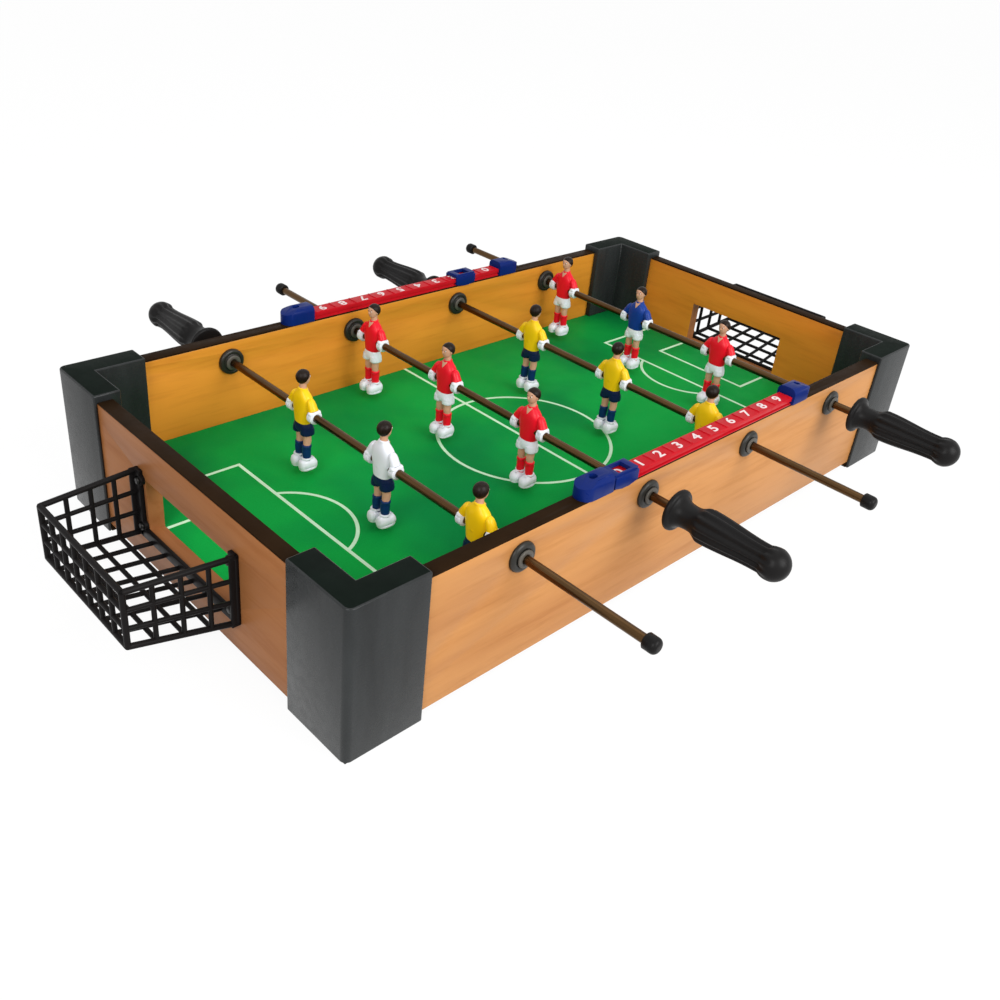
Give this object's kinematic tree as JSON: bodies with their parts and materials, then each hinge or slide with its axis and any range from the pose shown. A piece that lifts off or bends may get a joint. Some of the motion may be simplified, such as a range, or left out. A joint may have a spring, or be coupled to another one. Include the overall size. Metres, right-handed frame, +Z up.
{
  "type": "tabletop foosball table",
  "caption": "Low wooden tabletop football game with corner posts, a printed field, net goals, sliding score counters and rods of kicking players that slide and spin.",
  "frame": {"origin": "on the ground under the middle of the table: the centre of the bounding box in plan, at the underside of the corner feet", "axes": "+X runs along the table's length towards the right goal, +Y runs along the rods towards the far side, +Z up; the near side is the one whose handles are on rods 2 and 4"},
  "size_m": [0.6194, 0.4568, 0.0983],
  "materials": {
    "field_print": "printed green sheet on fibreboard, satin",
    "batten_wood": "bare softwood",
    "wall_wood": "wood-grain foil on fibreboard, satin",
    "trim_black": "fine satin",
    "post_black": "smooth satin",
    "net_black": "moulded gloss",
    "bearing_black": "moulded gloss",
    "sleeve_grey": "smooth, self-lubricating",
    "rod_steel": "drawn steel tube, lightly polished",
    "screw_steel": "zinc-plated",
    "handle_black": "moulded gloss",
    "counter_red": "moulded gloss",
    "counter_blue": "moulded gloss",
    "shirt_yellow": "painted figure, gloss",
    "shirt_white": "painted figure, gloss",
    "shirt_red": "painted figure, gloss",
    "shirt_blue": "painted figure, gloss"
  },
  "bodies": {
    "table": {"playfield": "field_print", "field_battens": "batten_wood", "wall_near": "wall_wood", "wall_far": "wall_wood", "wall_left": "wall_wood", "wall_right": "wall_wood", "trim_near": "trim_black", "trim_far": "trim_black", "trim_left": "trim_black", "trim_right": "trim_black", "post_near_left": "post_black", "post_near_right": "post_black", "post_far_right": "post_black", "post_far_left": "post_black", "post_feet": "trim_black", "foot_screws": "screw_steel", "goal_net_left": "net_black", "goal_net_right": "net_black", "net_screws": "screw_steel", "bearing_housings": "bearing_black", "bearing_nuts": "bearing_black", "score_rail_near": "counter_red", "score_rail_far": "counter_red", "score_blocks_near": "counter_blue", "score_blocks_far": "counter_blue", "score_screws": "screw_steel"},
    "marker_near": {"score_marker_near": "counter_blue"},
    "marker_far": {"score_marker_far": "counter_blue"},
    "sleeves_1": {"sleeves_1": "sleeve_grey"},
    "rod_1": {"rod_1": "rod_steel", "handle_1": "handle_black", "end_cap_1": "handle_black", "player_1_near": "shirt_yellow", "player_1_mid": "shirt_white", "player_1_far": "shirt_yellow", "player_screws_1": "screw_steel"},
    "sleeves_2": {"sleeves_2": "sleeve_grey"},
    "rod_2": {"rod_2": "rod_steel", "handle_2": "handle_black", "end_cap_2": "handle_black", "player_2_near": "shirt_red", "player_2_mid": "shirt_red", "player_2_far": "shirt_red", "player_screws_2": "screw_steel"},
    "sleeves_3": {"sleeves_3": "sleeve_grey"},
    "rod_3": {"rod_3": "rod_steel", "handle_3": "handle_black", "end_cap_3": "handle_black", "player_3_near": "shirt_yellow", "player_3_mid": "shirt_yellow", "player_3_far": "shirt_yellow", "player_screws_3": "screw_steel"},
    "sleeves_4": {"sleeves_4": "sleeve_grey"},
    "rod_4": {"rod_4": "rod_steel", "handle_4": "handle_black", "end_cap_4": "handle_black", "player_4_near": "shirt_red", "player_4_mid": "shirt_blue", "player_4_far": "shirt_red", "player_screws_4": "screw_steel"}
  },
  "joints": [
    {"name": "rod_1_spin", "type": "hinge", "parent": "table", "child": "sleeves_1", "pos_m": [-0.1485, 0, 0.0715], "axis": [0, 1, 0], "continuous": true},
    {"name": "rod_1_slide", "type": "slide", "parent": "sleeves_1", "child": "rod_1", "axis": [0, 1, 0], "range_m": [-0.004, 0.064]},
    {"name": "rod_2_spin", "type": "hinge", "parent": "table", "child": "sleeves_2", "pos_m": [-0.0495, 0, 0.0715], "axis": [0, 1, 0], "continuous": true},
    {"name": "rod_2_slide", "type": "slide", "parent": "sleeves_2", "child": "rod_2", "axis": [0, 1, 0], "range_m": [-0.064, 0.004]},
    {"name": "rod_3_spin", "type": "hinge", "parent": "table", "child": "sleeves_3", "pos_m": [0.0495, 0, 0.0715], "axis": [0, 1, 0], "continuous": true},
    {"name": "rod_3_slide", "type": "slide", "parent": "sleeves_3", "child": "rod_3", "axis": [0, 1, 0], "range_m": [-0.004, 0.064]},
    {"name": "rod_4_spin", "type": "hinge", "parent": "table", "child": "sleeves_4", "pos_m": [0.1485, 0, 0.0715], "axis": [0, 1, 0], "continuous": true},
    {"name": "rod_4_slide", "type": "slide", "parent": "sleeves_4", "child": "rod_4", "axis": [0, 1, 0], "range_m": [-0.064, 0.004]},
    {"name": "marker_near_slide", "type": "slide", "parent": "table", "child": "marker_near", "axis": [1, 0, 0], "range_m": [0, 0.1548]},
    {"name": "marker_far_slide", "type": "slide", "parent": "table", "child": "marker_far", "axis": [1, 0, 0], "range_m": [-0.129, 0.0258]}
  ]
}
